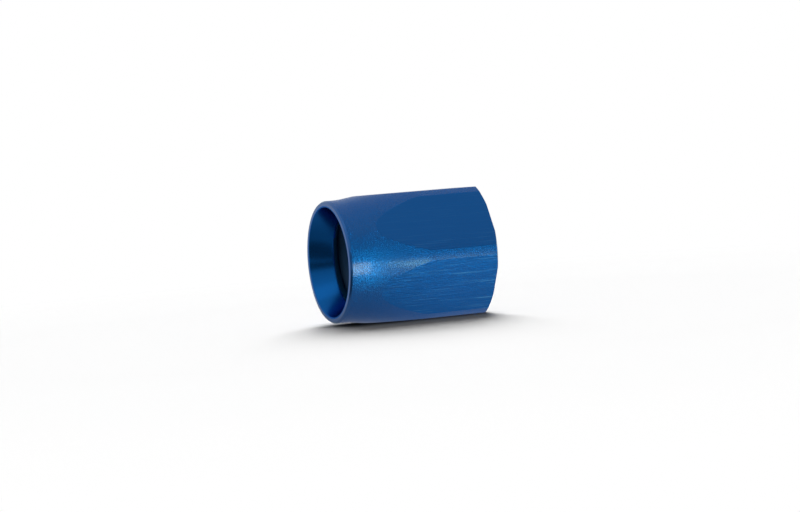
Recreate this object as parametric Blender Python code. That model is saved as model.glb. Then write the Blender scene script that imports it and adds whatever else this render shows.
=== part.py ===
"""Hose end socket, the outer half of a reusable hose end for braided hose.

One piece of aluminium, turned and milled from hexagonal bar and anodised blue.
The part lies on one wrench flat. Its axis runs along X, with the hose mouth at
-X and the hex end at +X, and +Z is up. The origin is under the middle of the
part, on the surface it lies on.

Stations are measured along the axis from the mouth face, in metres.
"""

import math

import bmesh
import bpy

MM = 0.001

# The hose that the socket holds
HOSE_DIAMETER = 14.2 * MM

# Mouth and its lead-in for the hose
MOUTH_CLEARANCE = 0.475 * MM
MOUTH_EDGE_RADIUS = 0.12 * MM
LEAD_IN_DEPTH = 3.3 * MM
LEAD_IN_BLEND_RADIUS = 1.6 * MM

# Left-hand buttress thread that bites into the hose cover
GRIP_BITE = 0.9 * MM
GRIP_LENGTH = 8.3 * MM
GRIP_THREAD_DEPTH = 0.7 * MM
GRIP_THREAD_PITCH = 2.0 * MM
GRIP_CREST_WIDTH = 0.5 * MM
GRIP_ROOT_WIDTH = 0.4 * MM
GRIP_STEEP_FLANK = math.radians(8.0)
GRIP_START_LEAD = 1.1 * MM
GRIP_SINK_TURNS = 0.3

# Relief groove between the two threads
RELIEF_CLEARANCE = 0.4 * MM
RELIEF_LENGTH = 2.1 * MM

# Nipple bore at the hex end, with a right-hand 60 degree thread of 18 turns to the inch
NIPPLE_STEP = 0.2 * MM
NIPPLE_LENGTH = 7.7 * MM
NIPPLE_CHAMFER = 0.9 * MM
NIPPLE_THREAD_PITCH = 25.4 / 18.0 * MM
NIPPLE_HALF_FLANK = math.radians(30.0)

# Flat crests and flat roots of that thread, as shares of its pitch
CREST_FLAT = 1.0 / 4.0
ROOT_FLAT = 1.0 / 8.0

# Turned outside, from the mouth to the hex end
NECK_WALL = 0.815 * MM
NECK_LENGTH = 2.0 * MM
LIP_CHAMFER_HEIGHT = 0.19 * MM
LIP_CHAMFER_LENGTH = 0.26 * MM
BARREL_TAPER = math.radians(7.9)
BARREL_BLEND_RADIUS = 12.0 * MM

# Hexagonal bar and what is turned off its corners
WALL_AT_FLATS = 1.43 * MM
CORNER_CUT = 0.37 * MM
HEX_CHAMFER_HEIGHT = 0.81 * MM
HEX_CHAMFER_ANGLE = math.radians(30.0)

# Radii and lengths that follow from these
MOUTH_RADIUS = HOSE_DIAMETER / 2.0 + MOUTH_CLEARANCE
GRIP_RADIUS = HOSE_DIAMETER / 2.0 - GRIP_BITE
RELIEF_RADIUS = GRIP_RADIUS + GRIP_THREAD_DEPTH + RELIEF_CLEARANCE
NIPPLE_RADIUS = GRIP_RADIUS + NIPPLE_STEP
NECK_RADIUS = MOUTH_RADIUS + NECK_WALL
FLAT_DISTANCE = RELIEF_RADIUS + WALL_AT_FLATS
BAR_CORNER_RADIUS = FLAT_DISTANCE / math.cos(math.pi / 6.0)
CORNER_RADIUS = BAR_CORNER_RADIUS - CORNER_CUT
GRIP_END = LEAD_IN_DEPTH + GRIP_LENGTH
RELIEF_END = GRIP_END + RELIEF_LENGTH
OVERALL_LENGTH = RELIEF_END + NIPPLE_LENGTH

# How finely the round forms are divided
SEGMENTS = 72
BLEND_STEPS = 4

# How far the thread cutters stay clear of walls they start beside, and reach past the bore
CUTTER_CLEARANCE = 0.15 * MM
CUTTER_OVERLAP = 0.2 * MM
MERGE_DISTANCE = 0.003 * MM

ANODISED_BLUE = (0.010, 0.075, 0.235, 1.0)


def rounded_corner(before, corner, after, radius, steps):
    """Points of the arc of this radius that touches both lines through a corner."""
    ax, ar = before[0] - corner[0], before[1] - corner[1]
    bx, br = after[0] - corner[0], after[1] - corner[1]
    a_length, b_length = math.hypot(ax, ar), math.hypot(bx, br)
    ax, ar, bx, br = ax / a_length, ar / a_length, bx / b_length, br / b_length
    half_angle = math.acos(max(-1.0, min(1.0, ax * bx + ar * br))) / 2.0
    tangent = min(radius / math.tan(half_angle), 0.49 * a_length, 0.49 * b_length)
    radius = tangent * math.tan(half_angle)
    middle = math.hypot(ax + bx, ar + br)
    centre_distance = radius / math.sin(half_angle)
    centre = (corner[0] + (ax + bx) / middle * centre_distance,
              corner[1] + (ar + br) / middle * centre_distance)
    start = math.atan2(corner[1] + ar * tangent - centre[1], corner[0] + ax * tangent - centre[0])
    end = math.atan2(corner[1] + br * tangent - centre[1], corner[0] + bx * tangent - centre[0])
    sweep = (end - start + math.pi) % (2.0 * math.pi) - math.pi
    return [(centre[0] + radius * math.cos(start + sweep * i / steps),
             centre[1] + radius * math.sin(start + sweep * i / steps))
            for i in range(steps + 1)]


def turned_section():
    """Closed outline of the wall, as (station, radius) pairs, round the ring of metal."""
    land_start = NECK_LENGTH + (CORNER_RADIUS - NECK_RADIUS) / math.tan(BARREL_TAPER)
    hex_chamfer_length = HEX_CHAMFER_HEIGHT * math.tan(HEX_CHAMFER_ANGLE)
    # Each corner is a station, a radius and the radius of its blend
    corners = [
        (0.0, MOUTH_RADIUS, MOUTH_EDGE_RADIUS),
        (0.0, NECK_RADIUS - LIP_CHAMFER_HEIGHT, 0.0),
        (LIP_CHAMFER_LENGTH, NECK_RADIUS, 0.0),
        (NECK_LENGTH, NECK_RADIUS, BARREL_BLEND_RADIUS),
        (land_start, CORNER_RADIUS, BARREL_BLEND_RADIUS),
        (OVERALL_LENGTH - hex_chamfer_length, CORNER_RADIUS, 0.0),
        (OVERALL_LENGTH, CORNER_RADIUS - HEX_CHAMFER_HEIGHT, 0.0),
        (OVERALL_LENGTH, NIPPLE_RADIUS + NIPPLE_CHAMFER, 0.0),
        (OVERALL_LENGTH - NIPPLE_CHAMFER, NIPPLE_RADIUS, 0.0),
        (RELIEF_END, NIPPLE_RADIUS, 0.0),
        (RELIEF_END - (RELIEF_RADIUS - NIPPLE_RADIUS), RELIEF_RADIUS, 0.0),
        (GRIP_END, RELIEF_RADIUS, 0.0),
        (GRIP_END, GRIP_RADIUS, 0.0),
        (LEAD_IN_DEPTH, GRIP_RADIUS, LEAD_IN_BLEND_RADIUS),
    ]
    outline = []
    for i, (station, radius, blend) in enumerate(corners):
        if blend:
            before = corners[i - 1][:2]
            after = corners[(i + 1) % len(corners)][:2]
            outline += rounded_corner(before, (station, radius), after, blend, BLEND_STEPS)
        else:
            outline.append((station, radius))
    return outline


def mesh_from(bm, name):
    """New mesh with the faces of bm pointing out."""
    bmesh.ops.recalc_face_normals(bm, faces=bm.faces)
    mesh = bpy.data.meshes.new(name)
    bm.to_mesh(mesh)
    bm.free()
    return mesh


def axial_x(station):
    """Place along X of a station measured from the mouth face."""
    return station - OVERALL_LENGTH / 2.0


def turned_blank():
    """The wall section spun once round the axis."""
    bm = bmesh.new()
    ring = [bm.verts.new((axial_x(s), 0.0, r)) for s, r in turned_section()]
    edges = [bm.edges.new((ring[i - 1], ring[i])) for i in range(len(ring))]
    bmesh.ops.spin(bm, geom=ring + edges, cent=(0.0, 0.0, 0.0), axis=(1.0, 0.0, 0.0),
                   angle=2.0 * math.pi, steps=SEGMENTS, use_merge=True)
    return mesh_from(bm, "turned_blank")


def hexagonal_bar():
    """Bar stock, longer than the part, with one flat facing down."""
    bm = bmesh.new()
    corners = [(BAR_CORNER_RADIUS * math.cos(i * math.pi / 3.0),
                BAR_CORNER_RADIUS * math.sin(i * math.pi / 3.0)) for i in range(6)]
    base = bm.faces.new([bm.verts.new((-OVERALL_LENGTH, y, z)) for y, z in corners])
    swept = bmesh.ops.extrude_face_region(bm, geom=[base])["geom"]
    far_end = [item for item in swept if isinstance(item, bmesh.types.BMVert)]
    bmesh.ops.translate(bm, verts=far_end, vec=(2.0 * OVERALL_LENGTH, 0.0, 0.0))
    return mesh_from(bm, "hexagonal_bar")


def helical_path(name, section_at, start, end, pitch, hand):
    """Solid that a tool section sweeps along a helix, from the underside of the part.

    section_at(turns) lists the section as (offset, radius) pairs. Hand is 1 for a
    right-hand helix and -1 for a left-hand one.
    """
    bm = bmesh.new()
    rings = []
    for i in range(round((end - start) / pitch * SEGMENTS) + 1):
        turns = i / SEGMENTS
        station = start + pitch * turns
        angle = (2.0 * hand * turns - 0.5) * math.pi
        rings.append([bm.verts.new((axial_x(station + offset), radius * math.cos(angle),
                                    radius * math.sin(angle)))
                      for offset, radius in section_at(turns)])
    for ring, after in zip(rings, rings[1:]):
        for j in range(len(ring)):
            bm.faces.new((ring[j - 1], ring[j], after[j], after[j - 1]))
    bm.faces.new(rings[0])
    bm.faces.new(rings[-1])
    return mesh_from(bm, name)


def grip_groove():
    """Buttress groove of the hose grip, on a left-hand helix.

    It starts in the lead-in, where the tool sinks to its full depth in part of a turn,
    and runs out in the relief groove. The steep flank is on the mouth side, so that it
    holds the hose cover against the pull.
    """
    groove_width = GRIP_THREAD_PITCH - GRIP_CREST_WIDTH
    steep_width = GRIP_THREAD_DEPTH * math.tan(GRIP_STEEP_FLANK)
    easy_slope = (groove_width - steep_width - GRIP_ROOT_WIDTH) / GRIP_THREAD_DEPTH

    def section(turns):
        root = GRIP_RADIUS + GRIP_THREAD_DEPTH * min(1.0, turns / GRIP_SINK_TURNS)
        return [
            (-CUTTER_OVERLAP * math.tan(GRIP_STEEP_FLANK), GRIP_RADIUS - CUTTER_OVERLAP),
            (steep_width, root),
            (steep_width + GRIP_ROOT_WIDTH, root),
            (groove_width + CUTTER_OVERLAP * easy_slope, GRIP_RADIUS - CUTTER_OVERLAP),
        ]

    start = LEAD_IN_DEPTH - GRIP_START_LEAD
    end = GRIP_END + (RELIEF_LENGTH - groove_width) / 2.0
    return helical_path("grip_groove", section, start, end, GRIP_THREAD_PITCH, -1)


def nipple_groove():
    """Sixty degree groove of the nipple thread, on a right-hand helix.

    It starts in the relief groove and runs out through the chamfer of the hex end.
    """
    groove_width = NIPPLE_THREAD_PITCH * (1.0 - CREST_FLAT)
    root_width = NIPPLE_THREAD_PITCH * ROOT_FLAT
    flank_width = (groove_width - root_width) / 2.0
    root = NIPPLE_RADIUS + flank_width / math.tan(NIPPLE_HALF_FLANK)
    overlap_width = CUTTER_OVERLAP * math.tan(NIPPLE_HALF_FLANK)

    section = [
        (-overlap_width, NIPPLE_RADIUS - CUTTER_OVERLAP),
        (flank_width, root),
        (flank_width + root_width, root),
        (groove_width + overlap_width, NIPPLE_RADIUS - CUTTER_OVERLAP),
    ]
    start = GRIP_END + CUTTER_CLEARANCE + overlap_width
    end = OVERALL_LENGTH + CUTTER_CLEARANCE + overlap_width
    return helical_path("nipple_groove", lambda turns: section, start, end, NIPPLE_THREAD_PITCH, 1)


def cutter(name, mesh):
    """Object that shapes another one and isn't part of the model."""
    guide = bpy.data.objects.new(name, mesh)
    guide.hide_render = True
    guide.display_type = 'WIRE'
    bpy.context.scene.collection.objects.link(guide)
    guide.location.z = FLAT_DISTANCE
    return guide


def anodised_aluminium():
    """Blue anodised aluminium: a dyed metal with a soft bead-blasted shine."""
    material = bpy.data.materials.new("blue_anodised_aluminium")
    material.use_nodes = True
    shader = material.node_tree.nodes["Principled BSDF"]
    shader.inputs["Base Color"].default_value = ANODISED_BLUE
    shader.inputs["Metallic"].default_value = 0.85
    shader.inputs["Roughness"].default_value = 0.42
    return material


def build():
    """Make the socket from the turned blank, the bar's flats and the two threads."""
    for old in list(bpy.data.objects):
        bpy.data.objects.remove(old, do_unlink=True)
    socket = bpy.data.objects.new("hose_socket", turned_blank())
    bpy.context.scene.collection.objects.link(socket)
    socket.location.z = FLAT_DISTANCE
    socket.data.materials.append(anodised_aluminium())

    cuts = (
        ("hose grip thread", 'DIFFERENCE', grip_groove()),
        ("nipple thread", 'DIFFERENCE', nipple_groove()),
        ("wrench flats", 'INTERSECT', hexagonal_bar()),
    )
    for name, operation, shape in cuts:
        cut = socket.modifiers.new(name, 'BOOLEAN')
        cut.operation = operation
        cut.solver = 'EXACT'
        cut.object = cutter(shape.name, shape)
        # Crossings that fall within a hair of each other become one point
        weld = socket.modifiers.new("weld after " + name, 'WELD')
        weld.merge_threshold = MERGE_DISTANCE

    bpy.context.view_layer.update()
    depsgraph = bpy.context.evaluated_depsgraph_get()
    finished = bpy.data.meshes.new_from_object(socket.evaluated_get(depsgraph))
    finished.name = "hose_socket"
    socket.modifiers.clear()
    socket.data = finished
    finished.shade_smooth()
    finished.set_sharp_from_angle(angle=math.radians(20.0))


build()
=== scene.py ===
"""Looks of a blue anodised hose end socket that lies on one of its wrench flats.

The metal is one closed skin, worked out with numpy: rings of points along the
turned outside and the bored inside, with the hexagon's flats cut into the rings
and both threads carried on helical rows. Lengths here are in millimetres until
the points go into the mesh. A station is a length along the axis from the mouth
face, and an angle is measured round the axis from +Y towards +Z.
"""

import math

import bpy
import numpy as np
from mathutils import Matrix, Vector


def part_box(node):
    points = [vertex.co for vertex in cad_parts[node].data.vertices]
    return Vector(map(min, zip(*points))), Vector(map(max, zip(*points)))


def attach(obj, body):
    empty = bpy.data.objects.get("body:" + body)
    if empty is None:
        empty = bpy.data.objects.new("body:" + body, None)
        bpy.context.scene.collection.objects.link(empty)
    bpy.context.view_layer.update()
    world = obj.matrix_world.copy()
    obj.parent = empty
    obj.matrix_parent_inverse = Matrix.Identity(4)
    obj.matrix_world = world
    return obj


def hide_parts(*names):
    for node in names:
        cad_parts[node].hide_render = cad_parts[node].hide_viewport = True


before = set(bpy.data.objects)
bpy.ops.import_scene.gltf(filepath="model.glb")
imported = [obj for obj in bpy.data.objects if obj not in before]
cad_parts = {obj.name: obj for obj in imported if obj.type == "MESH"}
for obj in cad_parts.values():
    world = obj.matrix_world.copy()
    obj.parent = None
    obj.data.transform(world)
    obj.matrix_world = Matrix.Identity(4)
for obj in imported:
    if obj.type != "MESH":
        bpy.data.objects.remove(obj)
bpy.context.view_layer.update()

MM = 0.001
TURN = 2.0 * math.pi
SIXTH = TURN / 6.0

# From the frame: the axis runs along X, and one flat lies on the floor
low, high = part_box("hose_socket")
LENGTH = (high.x - low.x) / MM
FLAT_DISTANCE = (high.z - low.z) / 2.0 / MM
CORNER_RADIUS = (high.y - low.y) / 2.0 / MM

# Turned outside
NECK_RADIUS = 8.39
NECK_LENGTH = 2.0
LIP_CHAMFER_LENGTH = 0.26
LIP_CHAMFER_HEIGHT = 0.19
BARREL_TAPER = math.radians(7.9)
BARREL_BLEND = 12.0
HEX_CHAMFER_HEIGHT = 0.81
HEX_CHAMFER_LENGTH = HEX_CHAMFER_HEIGHT * math.tan(math.radians(30.0))
EDGE_BREAK = 0.06
FLAT_END_BREAK = 0.1
FLAT_EDGE_SOFTNESS = 0.006
# Extra rings near the tip where a flat runs out, as lengths from it, and on the rounded break at the
# flat's other end, as angles round the break
TIP_RINGS = np.array([-0.2, -0.06, 0.0, 0.015, 0.04, 0.08, 0.13, 0.19, 0.27])
END_BREAK_RINGS = np.radians([0.0, 18.0, 36.0, 54.0, 72.0])

# Bored inside
MOUTH_RADIUS = 7.575
MOUTH_EDGE = 0.12
LEAD_IN_DEPTH = 3.3
LEAD_IN_BLEND = 1.6
GRIP_RADIUS = 6.2
# The grip's rows run between these stations, and start within the lead-in
GRIP_START = 1.6
GRIP_END = 11.6
GRIP_PITCH = 2.0
GRIP_DEPTH = 0.7
# The groove lies this far into each pitch of the grip's rows
GRIP_GROOVE_AT = 0.1
# The tool starts to sink at this station, and is at full depth after this part of a turn
GRIP_GROOVE_START = 2.2
GRIP_SINK_TURNS = 0.3
GRIP_STEEP_WIDTH = 0.098
GRIP_ROOT_WIDTH = 0.4
GRIP_GROOVE_WIDTH = 1.5
# Both flanks run on this far inside the bore, so that the groove's edges are clean
GRIP_PAST_BORE = 0.2
RELIEF_RADIUS = 7.3
RELIEF_END = 13.7
RELIEF_BLEND = 0.15
RELIEF_PAST_GROOVE = 0.1
NIPPLE_RADIUS = 6.4
NIPPLE_CHAMFER = 0.9
# The nipple thread is a sixty degree one. Its flat crests and roots are shares of its pitch
NIPPLE_PITCH = 25.4 / 18.0
CREST_FLAT = 1.0 / 4.0
ROOT_FLAT = 1.0 / 8.0
NIPPLE_GROOVE_WIDTH = (1.0 - CREST_FLAT) * NIPPLE_PITCH
NIPPLE_FLANK_WIDTH = (1.0 - CREST_FLAT - ROOT_FLAT) / 2.0 * NIPPLE_PITCH
NIPPLE_DEPTH = NIPPLE_FLANK_WIDTH / math.tan(math.radians(30.0))
# The threaded rows stop this far short of the relief groove and of the end face
NIPPLE_MARGIN = 0.14
# A crest of the nipple thread starts at this station at angle zero, and its groove follows
NIPPLE_CREST_START = 11.865

# Columns round one sixth of the outside, and round the whole inside
FLAT_COLUMNS = 14
LAND_COLUMNS = 18
EDGE_OFFSETS = np.radians([-1.3, -0.6, -0.25, 0.0, 0.25, 0.6, 1.3])
NARROWEST_FLAT = math.radians(2.6)
INSIDE_COLUMNS = 144
# A ring of the mouth closer than this to the grip's first row is left out
NEAREST_RING = 0.05
# Slack for rounding where a row falls just where the rows end
ROW_SLACK = 1e-4
# Faces that meet at more than this are shaded apart
SHARP_EDGE = math.radians(32.0)

# Slots of the skin, in the order of its materials
BLASTED, MILLED, TURNED, BORED, THREADED = range(5)


def rounded_path(corners):
    """Points along straight runs whose corners are arcs.

    Each corner is (station, radius, blend, spacing). An arc of radius b at a corner
    of half angle g touches both runs b / tan(g) from it, and its centre lies
    b / sin(g) from it on the line that halves the corner. The run that ends at a
    corner has a point every spacing.
    """
    pts = np.array([c[:2] for c in corners], float)
    path = pts[:1]
    for i in range(1, len(corners)):
        if i + 1 < len(corners) and corners[i][2]:
            a = pts[i - 1] - pts[i]
            b = pts[i + 1] - pts[i]
            a /= np.linalg.norm(a)
            b /= np.linalg.norm(b)
            blend = corners[i][2]
            g = math.acos(np.clip(a @ b, -1.0, 1.0)) / 2.0
            centre = pts[i] + (a + b) / np.linalg.norm(a + b) * blend / math.sin(g)
            start = pts[i] + a * blend / math.tan(g) - centre
            end = pts[i] + b * blend / math.tan(g) - centre
            sweep = math.pi - 2.0 * g
            steps = max(4, math.ceil(sweep * blend / corners[i][3]))
            t = np.linspace(0.0, 1.0, steps + 1)[:, None]
            part = centre + (np.sin((1.0 - t) * sweep) * start + np.sin(t * sweep) * end) / math.sin(sweep)
        else:
            part = pts[i:i + 1]
        gap = part[0] - path[-1]
        steps = math.ceil(np.linalg.norm(gap) / corners[i][3])
        run = path[-1] + gap * (np.arange(1, steps) / steps)[:, None]
        path = np.concatenate([path, run, part])
    return path


def with_stations(path, stations):
    """The path with points added where it passes these stations."""
    extra = np.stack([stations, np.interp(stations, path[:, 0], path[:, 1])], axis=1)
    merged = np.concatenate([path, extra])
    return merged[np.argsort(merged[:, 0], kind="stable")]


def softer_lower(a, b, softness):
    """The smaller of a and b, with the crossing rounded off: (a + b - sqrt((a-b)^2 + 4 s^2)) / 2."""
    return (a + b - np.sqrt((a - b) ** 2 + 4.0 * softness ** 2)) / 2.0


def from_flat_middle(angle):
    """Angle from the middle of the nearest flat."""
    return angle % SIXTH - SIXTH / 2.0


def column_angles(radius):
    """Angles of each ring's columns, gathered along the edges of the six flats.

    A circle of radius r meets a flat at arccos(flat distance / r) from its middle.
    """
    w = np.arccos(FLAT_DISTANCE / np.maximum(radius, FLAT_DISTANCE))
    w = np.maximum(w, NARROWEST_FLAT)[:, None]
    e = EDGE_OFFSETS[-1]
    flat = (w - e) * np.linspace(-1.0, 1.0, FLAT_COLUMNS + 1)[1:-1]
    land = w + e + (SIXTH - 2.0 * (w + e)) * np.linspace(0.0, 1.0, LAND_COLUMNS + 1)[1:-1]
    sector = np.concatenate([flat, w + EDGE_OFFSETS, land, SIXTH - w - EDGE_OFFSETS[::-1]], axis=1)
    middles = SIXTH / 2.0 + SIXTH * np.arange(6)
    return (middles[:, None] + sector[:, None, :]).reshape(len(radius), -1)


class Skin:
    """Gathers rings of points, and the faces between them, into one closed mesh."""

    def __init__(self):
        self.points = []
        self.count = 0
        self.faces = []
        self.slots = []

    def add_points(self, station, radius, angle):
        """Points at x = station - length / 2, y = r cos(angle), z = axis height + r sin(angle)."""
        station, radius, angle = np.broadcast_arrays(station, radius, angle)
        xyz = np.stack([station - LENGTH / 2.0, radius * np.cos(angle),
                        FLAT_DISTANCE + radius * np.sin(angle)], axis=-1)
        ids = self.count + np.arange(station.size).reshape(station.shape)
        self.points.append(xyz.reshape(-1, 3))
        self.count += station.size
        return ids

    def add_quads(self, a, b, c, d, slot):
        """Quads a b c d. One with a doubled corner becomes a triangle, or nothing."""
        quads = np.stack([x.ravel() for x in np.broadcast_arrays(a, b, c, d)], axis=1)
        slots = np.broadcast_to(slot, np.shape(a)).ravel()
        doubled = quads == np.roll(quads, -1, axis=1)
        whole = ~doubled.any(axis=1)
        self.faces.append(quads[whole])
        self.slots.append(slots[whole])
        once = doubled.sum(axis=1) == 1
        self.faces.append(quads[once][~doubled[once]].reshape(-1, 3))
        self.slots.append(slots[once])

    def close_rings(self, ids, slot, outward):
        """Quads between rings that each close on themselves."""
        nxt = np.roll(ids, -1, axis=1)
        if outward:
            self.add_quads(ids[:-1], nxt[:-1], nxt[1:], ids[1:], slot)
        else:
            self.add_quads(ids[:-1], ids[1:], nxt[1:], nxt[:-1], slot)

    def inside_rings(self, path, first, last, slot):
        """Rings of an inner wall along a path, from one ring that is there already to another.

        Where first or last is None, the wall starts or ends with a ring of its own.
        """
        path = np.asarray(path, float)
        angle = TURN * np.arange(INSIDE_COLUMNS) / INSIDE_COLUMNS
        new = self.add_points(path[:, :1], path[:, 1:], angle[None])
        before = [] if first is None else [first[None]]
        after = [] if last is None else [last[None]]
        ids = np.concatenate(before + [new] + after)
        self.close_rings(ids, slot, outward=False)
        return ids[0], ids[-1]

    def helical_rows(self, lowest, highest, pitch, rows, hand, wall_at):
        """Rows of a threaded wall that climb one pitch a turn, between two plain rings.

        The rows of a turn lie at offsets o_k, k < n, and rows gives those that the form
        of the thread needs. After the part t of a turn, row k of turn m is at
        lowest + m pitch + o_k + t pitch, so that row i joins row i + n after a full
        turn. Fans of n rows, o_k t above lowest and their like below highest, fill the
        two wedges. wall_at(station, q) takes q, the place in the pitch, and gives the
        radius and the slot there.
        """
        height = highest - lowest - pitch
        offsets = np.unique(np.round(np.concatenate([[0.0, height % pitch], rows % pitch]), 6))
        n = len(offsets)
        turns = pitch * np.arange(math.floor(height / pitch) + 1)[:, None]
        steps = (turns + offsets).ravel()
        steps = steps[steps < height + ROW_SLACK]
        t = np.arange(INSIDE_COLUMNS) / INSIDE_COLUMNS
        first_fan = steps[:n + 1, None] if len(steps) > n else np.append(offsets, pitch)[:, None]
        last_fan = steps[-n - 1:, None] - steps[-n - 1]
        stations = np.concatenate([
            lowest + first_fan[:-1] * t,
            lowest + pitch * t + steps[:, None],
            lowest + height + pitch * t + last_fan[1:] * (1.0 - t),
        ])
        radius, slot = wall_at(stations, (stations - lowest - pitch * t) % pitch)
        slot = np.maximum(slot[:-1], slot[1:])
        slot = np.maximum(slot, np.roll(slot, -1, axis=1))
        ids = self.add_points(stations, radius, hand * TURN * t[None])
        ids[:n, 0] = ids[n, 0]
        seam = np.minimum(np.arange(len(stations)) + n, len(stations) - 1)
        nxt = np.concatenate([ids[:, 1:], ids[seam, :1]], axis=1)
        if hand > 0:
            self.add_quads(ids[:-1], ids[1:], nxt[1:], nxt[:-1], slot)
            return ids[0], ids[-1]
        self.add_quads(ids[:-1], nxt[:-1], nxt[1:], ids[1:], slot)
        turned_back = -np.arange(INSIDE_COLUMNS) % INSIDE_COLUMNS
        return ids[0][turned_back], ids[-1][turned_back]

    def zip_rings(self, outer, outer_angle, inner, slot, towards_plus_x):
        """Flat ring of triangles between two rings with other numbers of points.

        The points of both are passed in the order of their angles. Each makes a
        triangle with the point before it on its own ring and the last point passed
        on the other ring.
        """
        inner_angle = TURN * np.arange(len(inner)) / len(inner)
        outer_order = np.argsort(outer_angle % TURN)
        outer = outer[outer_order]
        angles = np.concatenate([(outer_angle % TURN)[outer_order], inner_angle])
        on_outer = np.argsort(angles, kind="stable") < len(outer)
        o = (np.cumsum(on_outer) - 1) % len(outer)
        i = (np.cumsum(~on_outer) - 1) % len(inner)
        here = np.where(on_outer, outer[o], inner[i])
        before = np.where(on_outer, outer[o - 1], inner[i - 1])
        across = np.where(on_outer, inner[i], outer[o])
        swap = on_outer == towards_plus_x
        self.add_quads(np.where(swap, before, here), np.where(swap, here, before), across, across, slot)

    def mesh(self, name):
        """The finished mesh, without points that no face uses."""
        corners = np.concatenate([f.ravel() for f in self.faces])
        sizes = np.concatenate([np.full(len(f), f.shape[1]) for f in self.faces])
        used, corners = np.unique(corners, return_inverse=True)
        points = np.concatenate(self.points)[used] * MM
        mesh = bpy.data.meshes.new(name)
        mesh.vertices.add(len(used))
        mesh.vertices.foreach_set("co", points.astype(np.float32).ravel())
        mesh.loops.add(len(corners))
        mesh.loops.foreach_set("vertex_index", corners.astype(np.int32).ravel())
        mesh.polygons.add(len(sizes))
        mesh.polygons.foreach_set("loop_start", (np.cumsum(sizes) - sizes).astype(np.int32))
        mesh.polygons.foreach_set("material_index", np.concatenate(self.slots).astype(np.int32))
        mesh.update(calc_edges=True)
        mesh.validate()
        return mesh


def outside(skin):
    """Rings along the turned outside, each no further out than the hexagon's flats.

    At an angle c from the middle of the nearest flat the radius is the smaller of the
    turned radius and the flat's distance / cos(c). Within the break of its end, the
    flat's distance falls along a quarter of a circle.
    """
    land_start = NECK_LENGTH + (CORNER_RADIUS - NECK_RADIUS) / math.tan(BARREL_TAPER)
    lip_radius = NECK_RADIUS - LIP_CHAMFER_HEIGHT
    face_radius = CORNER_RADIUS - HEX_CHAMFER_HEIGHT
    path = rounded_path([
        (0.0, lip_radius - 2.0 * EDGE_BREAK, 0.0, 0.1),
        (0.0, lip_radius, EDGE_BREAK, 0.1),
        (LIP_CHAMFER_LENGTH, NECK_RADIUS, EDGE_BREAK, 0.1),
        (NECK_LENGTH, NECK_RADIUS, BARREL_BLEND, 0.15),
        (land_start, CORNER_RADIUS, BARREL_BLEND, 0.12),
        (LENGTH - HEX_CHAMFER_LENGTH, CORNER_RADIUS, EDGE_BREAK, 0.6),
        (LENGTH, face_radius, 0.0, 0.08),
    ])[1:]
    rising = path[:np.argmax(path[:, 1])]
    tip = np.interp(FLAT_DISTANCE, rising[:, 1], rising[:, 0])
    end_break = LENGTH - FLAT_END_BREAK * (1.0 - np.sin(END_BREAK_RINGS))
    path = with_stations(path, np.concatenate([tip + TIP_RINGS, end_break]))
    station, turned = path.T

    angle = column_angles(turned)
    past = np.maximum(station - LENGTH + FLAT_END_BREAK, 0.0)
    distance = FLAT_DISTANCE - FLAT_END_BREAK + np.sqrt(FLAT_END_BREAK ** 2 - past ** 2)
    plane = distance[:, None] / np.cos(from_flat_middle(angle))
    radius = softer_lower(turned[:, None], plane, FLAT_EDGE_SOFTNESS)
    ids = skin.add_points(station[:, None], radius, angle)

    middle_s = (station[:-1] + station[1:])[:, None] / 2.0
    middle_r = (turned[:-1] + turned[1:])[:, None] / 2.0
    middle_a = (angle + np.concatenate([angle[:, 1:], angle[:, :1] + TURN], axis=1))[:-1] / 2.0
    on_flat = middle_r * np.cos(from_flat_middle(middle_a)) > FLAT_DISTANCE
    at_end = (middle_s < LIP_CHAMFER_LENGTH) | (middle_s > LENGTH - HEX_CHAMFER_LENGTH)
    skin.close_rings(ids, np.where(on_flat, MILLED, np.where(at_end, TURNED, BLASTED)), outward=True)
    return (ids[0], angle[0]), (ids[-1], angle[-1])


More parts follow.
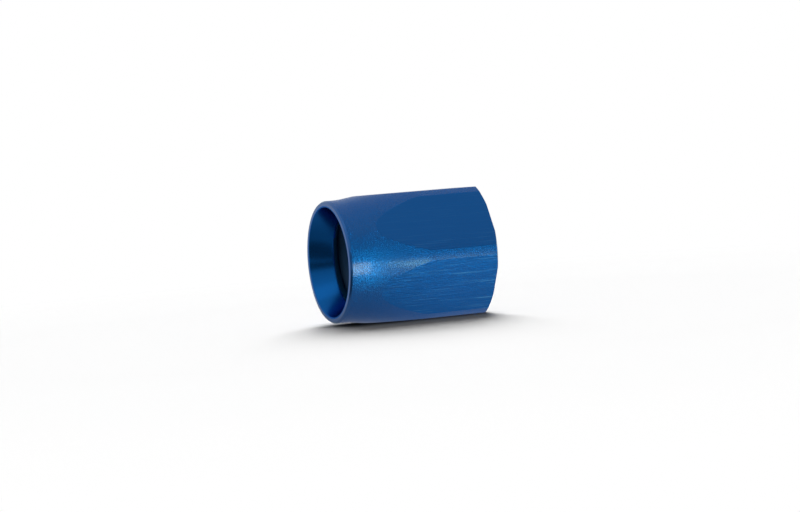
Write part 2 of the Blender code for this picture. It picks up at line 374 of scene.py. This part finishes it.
def inside(skin):
    """The mouth, its lead-in, the hose grip, the relief groove and the nipple thread.

    Plain walls are paths turned round the axis. A thread's wall is the wider of its
    groove and the plain wall there.
    """
    lead_in = rounded_path([
        (0.0, MOUTH_RADIUS + 2.0 * MOUTH_EDGE, 0.0, 0.1),
        (0.0, MOUTH_RADIUS, MOUTH_EDGE, 0.1),
        (LEAD_IN_DEPTH, GRIP_RADIUS, LEAD_IN_BLEND, 0.1),
        (GRIP_END, GRIP_RADIUS, 0.0, 0.1),
    ])[1:]

    steep = GRIP_STEEP_WIDTH / GRIP_DEPTH
    easy = (GRIP_GROOVE_WIDTH - GRIP_STEEP_WIDTH - GRIP_ROOT_WIDTH) / GRIP_DEPTH

    def grip(station, q):
        """Buttress groove: a steep flank, a flat root and an easy flank, cut into the bore.

        The tool sinks evenly to its full depth over the first part of a turn. At the
        place u in the groove, the groove that starts at station - u has made
        (station - u - first station) / pitch turns.
        """
        u = (q - GRIP_GROOVE_AT) % GRIP_PITCH
        turns = (station - u - GRIP_GROOVE_START) / GRIP_PITCH
        depth = GRIP_PAST_BORE + GRIP_DEPTH * np.clip(turns / GRIP_SINK_TURNS, -1.0, 1.0)
        rise = (u + GRIP_PAST_BORE * steep) / (GRIP_STEEP_WIDTH + GRIP_PAST_BORE * steep)
        fall = (GRIP_GROOVE_WIDTH + GRIP_PAST_BORE * easy - u) / ((GRIP_DEPTH + GRIP_PAST_BORE) * easy)
        cut = GRIP_RADIUS - GRIP_PAST_BORE + depth * np.clip(np.minimum(rise, fall), 0.0, 1.0)
        wall = np.interp(station, *lead_in.T)
        return np.maximum(cut, wall), np.where((cut > wall) | (station > LEAD_IN_DEPTH), THREADED, BORED)

    # Rows at the corners of the groove, close beside them and down its easy flank
    grip_rows = GRIP_GROOVE_AT + np.array([
        -0.04, 0.0, 0.05, GRIP_STEEP_WIDTH, 0.14, 0.26, 0.38, GRIP_STEEP_WIDTH + GRIP_ROOT_WIDTH,
        0.56, 0.7, 0.85, 1.0, 1.15, 1.3, 1.4, GRIP_GROOVE_WIDTH, 1.56, 1.75])
    grip_first, grip_last = skin.helical_rows(GRIP_START, GRIP_END, GRIP_PITCH, grip_rows, -1, grip)

    relief_wall = RELIEF_END - (RELIEF_RADIUS - NIPPLE_RADIUS)
    chamfer_start = LENGTH - NIPPLE_CHAMFER
    nipple_wall = ([relief_wall, RELIEF_END, chamfer_start, LENGTH],
                   [RELIEF_RADIUS, NIPPLE_RADIUS, NIPPLE_RADIUS, NIPPLE_RADIUS + NIPPLE_CHAMFER])

    lowest = relief_wall + NIPPLE_MARGIN
    groove_middle = NIPPLE_CREST_START + CREST_FLAT * NIPPLE_PITCH + NIPPLE_GROOVE_WIDTH / 2.0 - lowest

    def nipple(station, q):
        """Groove with even flanks and a flat root, by how far q lies from the groove's middle."""
        from_middle = np.abs((q - groove_middle + NIPPLE_PITCH / 2.0) % NIPPLE_PITCH - NIPPLE_PITCH / 2.0)
        depth = (NIPPLE_GROOVE_WIDTH / 2.0 - from_middle) / NIPPLE_FLANK_WIDTH
        cut = NIPPLE_RADIUS + NIPPLE_DEPTH * np.clip(depth, 0.0, 1.0)
        return np.maximum(cut, np.interp(station, *nipple_wall)), np.full(station.shape, THREADED)

    # Sixteenths of a pitch from the groove's middle. Its corners are at 1 and 6, with a row on each side
    sixteenths = np.array([-8, -6.2, -5.8, -4.5, -3, -1.2, -0.8, 0.8, 1.2, 3, 4.5, 5.8, 6.2])
    nipple_rows = groove_middle + sixteenths / 16.0 * NIPPLE_PITCH
    nipple_first, nipple_last = skin.helical_rows(
        lowest, LENGTH - NIPPLE_MARGIN, NIPPLE_PITCH, nipple_rows, 1, nipple)

    mouth_path = lead_in[lead_in[:, 0] < GRIP_START - NEAREST_RING]
    mouth_ring, _ = skin.inside_rings(mouth_path, None, grip_first, BORED)
    relief_path = rounded_path([
        (GRIP_END, GRIP_RADIUS + GRIP_DEPTH + RELIEF_PAST_GROOVE, 0.0, 0.2),
        (GRIP_END, RELIEF_RADIUS, RELIEF_BLEND, 0.15),
        (relief_wall, RELIEF_RADIUS, RELIEF_BLEND, 0.3),
        (relief_wall + NIPPLE_MARGIN, RELIEF_RADIUS - NIPPLE_MARGIN, 0.0, 0.2),
    ])[:-1]
    skin.inside_rings(relief_path, grip_last, nipple_first, THREADED)
    mouth_of_nipple = rounded_path([
        (LENGTH - NIPPLE_MARGIN, NIPPLE_RADIUS + NIPPLE_CHAMFER - NIPPLE_MARGIN, 0.0, 0.1),
        (LENGTH, NIPPLE_RADIUS + NIPPLE_CHAMFER, EDGE_BREAK, 0.1),
        (LENGTH, NIPPLE_RADIUS + NIPPLE_CHAMFER + 2.0 * EDGE_BREAK, 0.0, 0.1),
    ])[1:]
    _, hex_ring = skin.inside_rings(mouth_of_nipple, nipple_last, None, TURNED)
    return mouth_ring, hex_ring


def socket_skin():
    """The whole socket as one closed mesh: its outside and inside, joined by a flat ring at each end."""
    skin = Skin()
    (lip_ids, lip_angle), (end_ids, end_angle) = outside(skin)
    mouth_ring, hex_ring = inside(skin)
    skin.zip_rings(lip_ids, lip_angle, mouth_ring, TURNED, towards_plus_x=False)
    skin.zip_rings(end_ids, end_angle, hex_ring, TURNED, towards_plus_x=True)
    mesh = skin.mesh("socket")
    mesh.shade_smooth()
    mesh.set_sharp_from_angle(angle=SHARP_EDGE)
    socket = bpy.data.objects.new("socket", mesh)
    bpy.context.scene.collection.objects.link(socket)
    return socket


def linear(hex_colour):
    """An sRGB hex colour as linear red, green, blue and alpha."""
    parts = [int(hex_colour[i:i + 2], 16) / 255.0 for i in (1, 3, 5)]
    return tuple(p / 12.92 if p <= 0.04045 else ((p + 0.055) / 1.055) ** 2.4 for p in parts) + (1.0,)


def per_size(size_mm):
    """Scale of a pattern on object coordinates, in metres, whose grains are this many millimetres."""
    return 1.0 / (size_mm * MM)


def add(tree, kind, inputs=None, **settings):
    """Add a node with its settings. An input gets a value, or a link where it is given a socket."""
    node = tree.nodes.new(kind)
    for name, value in settings.items():
        setattr(node, name, value)
    for key, value in (inputs or {}).items():
        if isinstance(value, bpy.types.NodeSocket):
            tree.links.new(value, node.inputs[key])
        else:
            node.inputs[key].default_value = value
    return node


def new_material(name):
    """An empty node material and its tree."""
    material = bpy.data.materials.new(name)
    material.use_nodes = True
    material.node_tree.nodes.clear()
    return material, material.node_tree


def axis_coordinates(tree):
    """Object coordinates measured from the socket's axis instead of from the floor."""
    place = add(tree, "ShaderNodeTexCoord").outputs["Object"]
    mapping = add(tree, "ShaderNodeMapping", {"Vector": place, "Location": (0.0, 0.0, -FLAT_DISTANCE * MM)})
    return mapping.outputs["Vector"]


def grain(tree, place, sizes_mm, detail, roughness=0.5):
    """Noise whose grains have these sizes along X and across it."""
    along, across = sizes_mm
    per_grain = (per_size(along), per_size(across), per_size(across))
    scaled = add(tree, "ShaderNodeVectorMath", {0: place, 1: per_grain}, operation="MULTIPLY")
    return add(tree, "ShaderNodeTexNoise", {"Vector": scaled.outputs["Vector"], "Scale": 1.0,
                                            "Detail": detail, "Roughness": roughness}).outputs["Fac"]


ANODISED_BLUE = "#025193"
# Lighter blue of the scratches: partly their own colour, partly painted sheen
SCRATCH_AND_SHEEN_BLUE = "#3A7AB0"
# Painted shade: the threads' blue is darker than the barrel's
THREAD_PAINTED_SHADE_BLUE = "#0A4166"
EDGE_TINT = "#A0BCE1"
END_EDGE_TINT = "#59BCCB"
WHITE = "#FFFFFF"
PIT_SIZE = 0.17
PIT_DEPTH = 0.15 * MM
# Length along the socket and width of the lines and scratches on the flats
LINE_SIZE = (5.0, 0.15)
LINE_DEPTH = 0.12 * MM
SCRATCH_SIZE = (7.0, 0.14)
# Noise from where a scratch starts to where it is at its brightest
SCRATCH_NOISE = (0.6, 0.78)
# Height above the axis, from where the flats have their full wear and painted sheen to where they have the
# least. The painted sheen is the scratches' lighter colour, strongest on the lower flats
WEAR_AND_SHEEN_HEIGHT = (-1.0 * MM, 3.0 * MM)
LEAST_WEAR_AND_SHEEN = 0.15

# The inputs of a Map Range node are 0 the value, 1 and 2 the range it comes in,
# 3 and 4 the range it leaves in


def anodised(name, build):
    """Blue dyed oxide on aluminium. The clear outer oxide is a thin coat over the tinted metal."""
    material, tree = new_material(name)
    inputs = {"Base Color": linear(ANODISED_BLUE), "Metallic": 1.0, "Specular Tint": linear(EDGE_TINT)}
    inputs.update(build(tree))
    shader = add(tree, "ShaderNodeBsdfPrincipled", inputs)
    add(tree, "ShaderNodeOutputMaterial", {"Surface": shader.outputs["BSDF"]})
    return material


def blasted(tree):
    """Bead-blasted barrel: an even satin skin with a fine sparkle where the light strikes.

    Real pits are about 0.05 mm wide. They are drawn about as wide as a pixel of the
    photograph's view, so that they can be seen.
    """
    pits = grain(tree, axis_coordinates(tree), (PIT_SIZE, PIT_SIZE), 2.0, 0.7)
    normal = add(tree, "ShaderNodeBump", {"Height": pits, "Distance": PIT_DEPTH, "Strength": 1.0})
    return {"Roughness": 0.28, "Coat Weight": 0.38, "Coat Roughness": 0.23,
            "Normal": normal.outputs["Normal"]}


def milled(tree):
    """Flats of the drawn bar: fine lines along the axis, and scratches painted brighter on the lower ones,
    as a painted sheen.

    Real lines are finer. They are drawn about as wide as a pixel of the photograph's view.
    """
    place = axis_coordinates(tree)
    lines = grain(tree, place, LINE_SIZE, 3.0, 0.7)
    above_axis = add(tree, "ShaderNodeSeparateXYZ", {"Vector": place}).outputs["Z"]
    wear_and_painted_sheen = add(tree, "ShaderNodeMapRange", {
        0: above_axis, 1: WEAR_AND_SHEEN_HEIGHT[0], 2: WEAR_AND_SHEEN_HEIGHT[1], 3: 1.0, 4: LEAST_WEAR_AND_SHEEN}).outputs["Result"]
    streaks = add(tree, "ShaderNodeMapRange", {
        0: grain(tree, place, SCRATCH_SIZE, 1.0), 1: SCRATCH_NOISE[0], 2: SCRATCH_NOISE[1]})
    # Painted sheen: the scratches' colour is lighter on the lower flats
    scratches = add(tree, "ShaderNodeMath", {0: streaks.outputs["Result"], 1: wear_and_painted_sheen}, operation="MULTIPLY")
    colour = add(tree, "ShaderNodeMix", {"Factor": scratches.outputs["Value"], "A": linear(ANODISED_BLUE),
                                         "B": linear(SCRATCH_AND_SHEEN_BLUE)}, data_type="RGBA")
    normal = add(tree, "ShaderNodeBump", {"Height": lines, "Distance": LINE_DEPTH, "Strength": wear_and_painted_sheen})
    return {"Base Color": colour.outputs["Result"], "Roughness": 0.32, "Coat Weight": 0.25,
            "Coat Roughness": 0.29, "Normal": normal.outputs["Normal"]}


def turned(tree):
    """Turned end faces and chamfers: smooth, and greyer than the barrel because their oxide is clearer."""
    return {"Specular Tint": linear(END_EDGE_TINT), "Roughness": 0.34, "Coat Weight": 0.7,
            "Coat Roughness": 0.25}


def bored(tree):
    """Bored lead-in: smooth, so the room shows in it as soft bands."""
    return {"Roughness": 0.24, "Coat Weight": 0.1, "Coat Roughness": 0.2}


def threaded(tree):
    """Cut threads and the relief groove between them, coloured darker than the barrel as painted shade deep
    in the bore, and duller.
    """
    return {"Base Color": linear(THREAD_PAINTED_SHADE_BLUE), "Roughness": 0.68, "Coat Weight": 0.3, "Coat Roughness": 0.4}


socket = socket_skin()
for name, build in (("bead_blasted_anodised_aluminium", blasted), ("milled_anodised_aluminium", milled),
                    ("turned_anodised_aluminium", turned), ("bored_anodised_aluminium", bored),
                    ("threaded_anodised_aluminium", threaded)):
    socket.data.materials.append(anodised(name, build))
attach(socket, "root")
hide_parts("hose_socket")


# The photograph's view. A pixel of the 800 by 512 frame is this many millimetres at
# the mouth, found from the hexagon's width there
PIXEL = 0.13645
FRAME_WIDTH = 800.0
FRAME_HEIGHT = 512.0
MOUTH_PIXEL = (328.3, 262.6)
DISTANCE_PIXELS = 2220.0
AXIS_TURN = math.radians(22.26)
AXIS_SLOPE = math.radians(5.4)
CAMERA_ELEVATION = math.radians(2.0)

MIDDLE = Vector((0.0, 0.0, FLAT_DISTANCE * MM))


def photo_camera():
    """Camera at the photograph's viewing angle.

    In the camera's own frame (right, up, back) the part's axis is the unit vector
    a = (cos T cos S, cos T sin S, -sin T) for the turn T away from the image plane
    and the slope S in the image. The world's up direction z has z_back = sin E for
    the elevation E, and is square to a.
    """
    data = bpy.data.cameras.new("camera")
    data.sensor_width = 36.0
    data.lens = data.sensor_width * DISTANCE_PIXELS / FRAME_WIDTH
    data.clip_start = 0.01
    data.clip_end = 20.0
    a = Vector((math.cos(AXIS_TURN) * math.cos(AXIS_SLOPE), math.cos(AXIS_TURN) * math.sin(AXIS_SLOPE),
                -math.sin(AXIS_TURN)))
    flat_a = Vector((a.x, a.y)).normalized()
    along = -math.sin(CAMERA_ELEVATION) * a.z / math.hypot(a.x, a.y)
    across = math.sqrt(math.cos(CAMERA_ELEVATION) ** 2 - along ** 2)
    up = Vector((flat_a.x * along - flat_a.y * across, flat_a.y * along + flat_a.x * across,
                 math.sin(CAMERA_ELEVATION)))
    turn = Matrix((a, up.cross(a), up))
    mouth = Vector((low.x, 0.0, FLAT_DISTANCE * MM))
    seen = Vector((MOUTH_PIXEL[0] - FRAME_WIDTH / 2.0, FRAME_HEIGHT / 2.0 - MOUTH_PIXEL[1],
                   -DISTANCE_PIXELS)) * PIXEL * MM
    camera = bpy.data.objects.new("camera", data)
    bpy.context.scene.collection.objects.link(camera)
    camera.matrix_world = Matrix.Translation(mouth - turn @ seen) @ turn.to_4x4()
    bpy.context.scene.camera = camera
    return camera


def towards(camera, azimuth, elevation):
    """Unit vector from the socket's middle. Azimuth is to the right of the camera."""
    to_camera = camera.location - MIDDLE
    turn = math.atan2(to_camera.y, to_camera.x) + math.radians(azimuth)
    rise = math.radians(elevation)
    return Vector((math.cos(turn) * math.cos(rise), math.sin(turn) * math.cos(rise), math.sin(rise)))


# Strength of the white room as the metal sees it, of its dark side, and of what lights the table
ROOM = 0.9
DARK_ROOM = 0.4
DARK_AZIMUTH = 42.0
# Cosines of the angle from the dark side, from the edge of its shade to its full shade
DARK_SHADE = (0.5, 0.9)
AMBIENT = 0.12

# Half the table's width in metres
FLOOR_SIZE = 3.0
FLOOR_WHITE = 0.93
# Distances in metres over which the table turns into the background
FLOOR_FADE = (0.07, 0.16)
# Painted shade in the table's colour under the socket, where the room's light doesn't come: the white
# there, then half length and half width, from full painted shade to none
PAINTED_SHADE_WHITE = 0.3
PAINTED_SHADE_X = (8.5 * MM, 12.5 * MM)
PAINTED_SHADE_Y = (3.0 * MM, 8.5 * MM)
# The table as the metal sees it, with painted shade in its glow: darker towards the mouth's end and under
# the socket, which ends along X and across Y, and fades into white over distances in metres
MIRRORED_PAINTED_SHADE_X = (-16.0 * MM, 6.0 * MM)
MIRRORED_PAINTED_SHADE_MOUTH_END = 0.5
MIRRORED_PAINTED_SHADE_Y = 9.0 * MM
MIRRORED_PAINTED_SHADE_UNDER = 0.65
MIRRORED_PAINTED_SHADE_FADE = (0.03, 0.06)

FLOOR_LIGHT = 1.04
SUN_ANGLE = math.radians(22.0)
# Tall soft strips of light behind the socket: azimuths, then elevations with the share of the
# floor's light that comes from there
BACK_AZIMUTHS = (173.0, 189.0)
BACK_SHARES = ((26.0, 0.36), (40.0, 0.34), (56.0, 0.2))

# Cards on the table, which only the metal sees: name, corners in millimetres, colour, strength, layer
LAYER_HEIGHT = 0.3
LOW_CARDS = (
    # Dark cloth in front of the mouth, which darkens the middle of the lead-in
    ("dark_cloth", ((-90.0, -240.0), (-30.0, -240.0), (-13.5, -3.5), (-34.0, -3.5)), WHITE, 0.13, 1),
    # Cards at the right front, which brighten the lower flat and the land between the flats
    ("low_card", ((-9.0, -75.0), (9.0, -75.0), (9.0, -20.0), (-9.0, -20.0)), "#F3FFED", 2.5, 1),
    ("side_card", ((10.0, -85.0), (40.0, -85.0), (32.0, -24.0), (10.0, -24.0)), "#E6FFED", 4.6, 1),
    # Bright strip, which draws the highlight along the barrel
    ("low_strip", ((-1.0, -33.0), (4.0, -33.0), (10.0, -75.0), (1.0, -75.0)), "#BCF9F9", 19.0, 2),
)
# Small card at the neck, which draws the whitish end of the highlight: corners in millimetres
NECK_CARD = ((-9.8, -11.2, 5.5), (-7.6, -11.8, 5.5), (-7.6, -11.8, 8.3), (-9.8, -11.2, 8.3))
NECK_CARD_COLOUR = "#F9FFE1"
NECK_CARD_STRENGTH = 12.0
# Cards round the lens: name, azimuths, elevations, distance in metres, strength
HIGH_CARDS = (
    ("dark_card", (-40.0, 14.0), (-2.0, 12.0), 0.25, 0.13),
    ("overhead_card", (-60.0, 5.0), (44.0, 74.0), 0.3, 1.2),
)


def by_ray(tree, camera, mirrored, other):
    """A value for camera rays, one for what metal or glass mirrors, and one for all other light."""
    path = add(tree, "ShaderNodeLightPath").outputs
    sent_on = add(tree, "ShaderNodeMath", {0: path["Is Glossy Ray"], 1: path["Is Transmission Ray"]},
                  operation="MAXIMUM").outputs["Value"]
    direct = add(tree, "ShaderNodeMath", {0: sent_on, 1: path["Diffuse Depth"]}, operation="SUBTRACT")
    unseen = add(tree, "ShaderNodeMapRange", {0: direct.outputs["Value"], 3: other, 4: mirrored})
    seen = add(tree, "ShaderNodeMapRange", {
        0: path["Is Camera Ray"], 3: unseen.outputs["Result"], 4: camera})
    return seen.outputs["Result"]


def white_world(camera):
    """White where it is seen. The metal sees a room that darkens towards the right front."""
    world = bpy.data.worlds.new("studio")
    bpy.context.scene.world = world
    world.use_nodes = True
    tree = world.node_tree
    tree.nodes.clear()
    direction = add(tree, "ShaderNodeTexCoord").outputs["Generated"]
    to_dark = add(tree, "ShaderNodeVectorMath", {0: direction, 1: towards(camera, DARK_AZIMUTH, 0.0)},
                  operation="DOT_PRODUCT").outputs["Value"]
    room = add(tree, "ShaderNodeMapRange", {
        0: to_dark, 1: DARK_SHADE[0], 2: DARK_SHADE[1], 3: ROOM, 4: DARK_ROOM})
    back = add(tree, "ShaderNodeBackground", {
        "Color": linear(WHITE), "Strength": by_ray(tree, 1.0, room.outputs["Result"], AMBIENT)})
    add(tree, "ShaderNodeOutputWorld", {"Surface": back.outputs["Background"]})


def glowing(name, colour, strength):
    """Emission that metal mirrors, but that doesn't light the table."""
    material, tree = new_material(name)
    glow = add(tree, "ShaderNodeEmission", {
        "Color": linear(colour), "Strength": by_ray(tree, 0.0, strength, 0.0)})
    add(tree, "ShaderNodeOutputMaterial", {"Surface": glow.outputs["Emission"]})
    return material


RAY_KINDS = ("camera", "diffuse", "glossy", "transmission", "shadow")


def card(name, corners, material, rays=("glossy",)):
    """Flat stage card, which is there only for these kinds of ray."""
    mesh = bpy.data.meshes.new(name)
    mesh.from_pydata(corners, [], [(0, 1, 2, 3)])
    mesh.materials.append(material)
    obj = bpy.data.objects.new(name, mesh)
    bpy.context.scene.collection.objects.link(obj)
    for kind in RAY_KINDS:
        setattr(obj, "visible_" + kind, kind in rays)


def white_floor():
    """White table that keeps the socket's shadow, with painted shade in its colour under the socket and in
    its glow that the metal mirrors, and away from it turns into the background.
    """
    material, tree = new_material("white_table")
    place = add(tree, "ShaderNodeTexCoord").outputs["Object"]
    distance = add(tree, "ShaderNodeVectorMath", {0: place}, operation="LENGTH").outputs["Value"]
    far = add(tree, "ShaderNodeMapRange", {
        0: distance, 1: FLOOR_FADE[0], 2: FLOOR_FADE[1]}).outputs["Result"]
    sides = add(tree, "ShaderNodeVectorMath", {0: place}, operation="ABSOLUTE").outputs["Vector"]
    aside = add(tree, "ShaderNodeSeparateXYZ", {"Vector": sides}).outputs

    # Painted shade: the table's colour is darker under the socket
    painted_shade_x = add(tree, "ShaderNodeMapRange", {0: aside["X"], 1: PAINTED_SHADE_X[0], 2: PAINTED_SHADE_X[1], 3: 1.0, 4: 0.0})
    painted_shade_y = add(tree, "ShaderNodeMapRange", {0: aside["Y"], 1: PAINTED_SHADE_Y[0], 2: PAINTED_SHADE_Y[1], 3: 1.0, 4: 0.0})
    painted_shade = add(tree, "ShaderNodeMath", {0: painted_shade_x.outputs["Result"], 1: painted_shade_y.outputs["Result"]},
               operation="MULTIPLY").outputs["Value"]
    white = add(tree, "ShaderNodeMapRange", {0: painted_shade, 3: FLOOR_WHITE, 4: PAINTED_SHADE_WHITE}).outputs["Result"]
    table = add(tree, "ShaderNodeBsdfPrincipled", {
        "Base Color": white, "Roughness": 0.8, "Specular IOR Level": 0.0})

    # Painted shade in what the metal mirrors: the table's glow is dimmer towards the mouth's end and under
    # the socket
    along = add(tree, "ShaderNodeMapRange", {
        0: add(tree, "ShaderNodeSeparateXYZ", {"Vector": place}).outputs["X"],
        1: MIRRORED_PAINTED_SHADE_X[0], 2: MIRRORED_PAINTED_SHADE_X[1], 3: MIRRORED_PAINTED_SHADE_MOUTH_END, 4: 1.0}).outputs["Result"]
    under = add(tree, "ShaderNodeMapRange", {0: aside["Y"], 2: MIRRORED_PAINTED_SHADE_Y, 3: MIRRORED_PAINTED_SHADE_UNDER, 4: 1.0})
    near = add(tree, "ShaderNodeMath", {0: along, 1: under.outputs["Result"]}, operation="MULTIPLY")
    mirrored = add(tree, "ShaderNodeMapRange", {
        0: distance, 1: MIRRORED_PAINTED_SHADE_FADE[0], 2: MIRRORED_PAINTED_SHADE_FADE[1], 3: near.outputs["Value"], 4: 1.0})
    glow = add(tree, "ShaderNodeEmission", {
        "Color": linear(WHITE), "Strength": by_ray(tree, 1.0, mirrored.outputs["Result"], 0.0)})
    both = add(tree, "ShaderNodeMixShader", {
        0: by_ray(tree, far, 1.0, 0.0), 1: table.outputs["BSDF"], 2: glow.outputs["Emission"]})
    add(tree, "ShaderNodeOutputMaterial", {"Surface": both.outputs["Shader"]})
    s = FLOOR_SIZE
    card("floor", [(-s, -s, 0.0), (s, -s, 0.0), (s, s, 0.0), (-s, s, 0.0)], material, RAY_KINDS)


def back_strips(camera):
    """Two strips of suns, which light the floor evenly and lay a soft shadow in front.

    A sun of strength E at elevation e gives a floor E sin(e) / pi of the radiance of
    white. The metal doesn't mirror them.
    """
    for azimuth in BACK_AZIMUTHS:
        for elevation, share in BACK_SHARES:
            data = bpy.data.lights.new("back_strip", "SUN")
            data.angle = SUN_ANGLE
            floor_light = FLOOR_LIGHT * share / len(BACK_AZIMUTHS)
            data.energy = floor_light * math.pi / math.sin(math.radians(elevation))
            sun = bpy.data.objects.new(data.name, data)
            sun.rotation_euler = towards(camera, azimuth, elevation).to_track_quat("Z", "Y").to_euler()
            sun.visible_glossy = False
            bpy.context.scene.collection.objects.link(sun)


def mirrored_cards(camera):
    """Cards that the metal mirrors, on the table, at the neck and round the lens."""
    for name, corners, colour, strength, layer in LOW_CARDS:
        card(name, [(x * MM, y * MM, layer * LAYER_HEIGHT * MM) for x, y in corners],
             glowing(name, colour, strength))
    card("neck_card", [[c * MM for c in corner] for corner in NECK_CARD],
         glowing("neck_card", NECK_CARD_COLOUR, NECK_CARD_STRENGTH))
    for name, (left, right), (bottom, top), distance, strength in HIGH_CARDS:
        card(name, [MIDDLE + distance * towards(camera, azimuth, elevation)
                    for azimuth, elevation in ((left, bottom), (right, bottom), (right, top), (left, top))],
             glowing(name, WHITE, strength))


camera = photo_camera()
white_world(camera)
white_floor()
mirrored_cards(camera)
back_strips(camera)
bpy.context.scene.view_settings.view_transform = "Standard"
